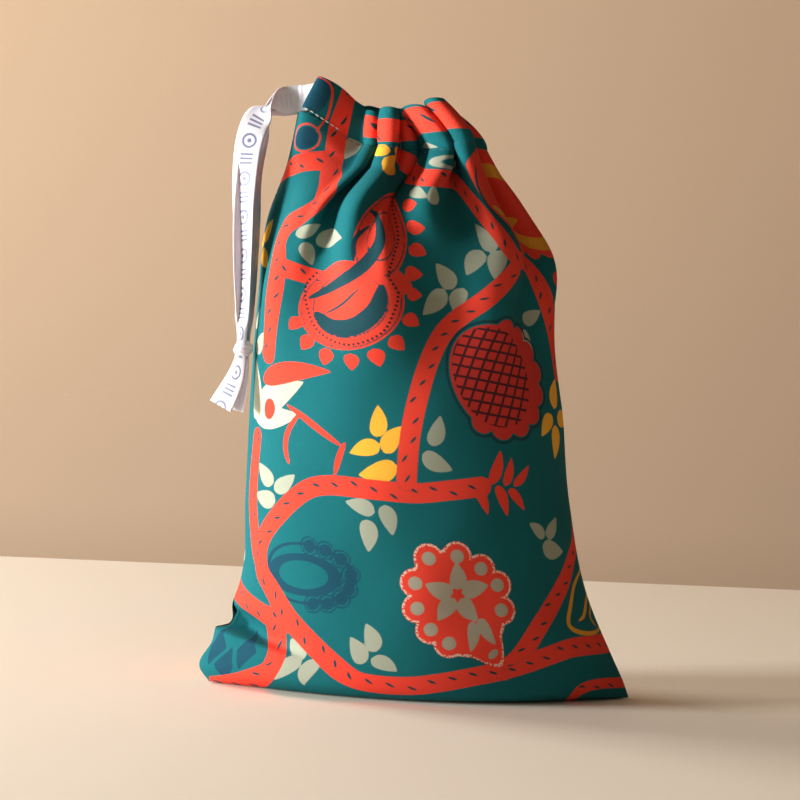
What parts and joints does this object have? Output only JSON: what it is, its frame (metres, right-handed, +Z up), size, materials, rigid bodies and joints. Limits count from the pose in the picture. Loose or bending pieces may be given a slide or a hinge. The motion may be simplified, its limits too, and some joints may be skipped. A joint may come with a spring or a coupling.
{
  "type": "drawstring dice bag",
  "caption": "Sewn cotton drawstring pouch, standing open-mouthed on its base, gathered by a flat ribbon in a top casing, with both ribbon ends out of one side slit and knotted.",
  "frame": {"origin": "on the surface that the bag stands on, midway between its two bottom corners", "axes": "+Z up, -Y the front, +X to the right of someone facing the front; the ribbon leaves on the -X side"},
  "size_m": [0.1466, 0.082, 0.205],
  "materials": {
    "printed_cotton": "plain-weave cotton with a coral, stone and yellow print on teal",
    "cotton_reverse": "paler reverse side of the printed cotton",
    "sewing_thread": "spun polyester thread",
    "ribbon": "white satin ribbon with small grey-blue marks"
  },
  "bodies": {
    "bag": {"front_panel": "printed_cotton", "back_panel": "printed_cotton", "front_casing_hem": "printed_cotton", "back_casing_hem": "printed_cotton", "left_seam_allowance": "cotton_reverse", "right_seam_allowance": "cotton_reverse", "left_seam_stitches": "sewing_thread", "right_seam_stitches": "sewing_thread", "front_casing_stitches": "sewing_thread", "back_casing_stitches": "sewing_thread", "slit_bartack": "sewing_thread", "ribbon_in_casing": "ribbon"},
    "drawstring_lead": {"ribbon_front_lead": "ribbon", "ribbon_back_lead": "ribbon"},
    "ribbon_loop": {"ribbon_front_strand": "ribbon", "ribbon_back_strand": "ribbon", "ribbon_front_tail": "ribbon", "ribbon_back_tail": "ribbon", "ribbon_knot": "ribbon"}
  },
  "joints": [
    {"name": "drawstring_pull", "type": "slide", "parent": "bag", "child": "drawstring_lead", "axis": [-1, 0, 0], "range_m": [0, 0.018]},
    {"name": "ribbon_swing", "type": "hinge", "parent": "drawstring_lead", "child": "ribbon_loop", "pos_m": [-0.04805, 0, 0.19775], "axis": [0, 1, 0], "range_deg": [0, 90]}
  ]
}
